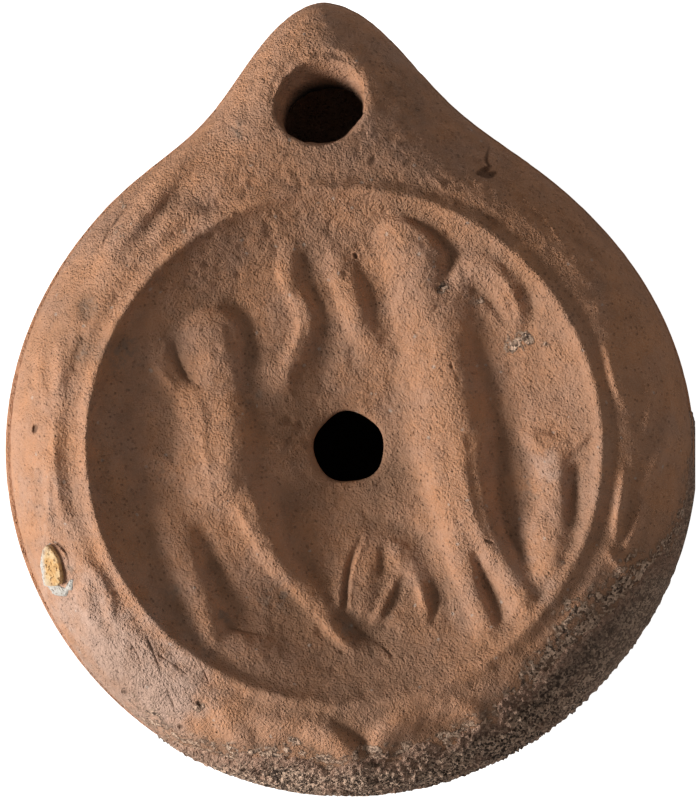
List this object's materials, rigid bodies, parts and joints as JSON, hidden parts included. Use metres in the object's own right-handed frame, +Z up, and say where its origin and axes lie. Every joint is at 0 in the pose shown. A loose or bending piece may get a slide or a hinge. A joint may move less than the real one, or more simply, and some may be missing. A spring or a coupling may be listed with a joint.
{
  "type": "oil lamp",
  "caption": "Roman mould-made clay oil lamp: round hollow body, sunk picture disc with a central filling hole, broad nozzle with a wick hole, flat base.",
  "frame": {"origin": "middle of the flat base underside, directly below the filling hole", "axes": "+Z up, +Y from the filling hole towards the nozzle, +X to the right seen from above with the nozzle up"},
  "size_m": [0.0875, 0.1005, 0.0286],
  "materials": {
    "fired_clay": "matte"
  },
  "bodies": {
    "root": {"lamp_body": "fired_clay"}
  },
  "joints": []
}
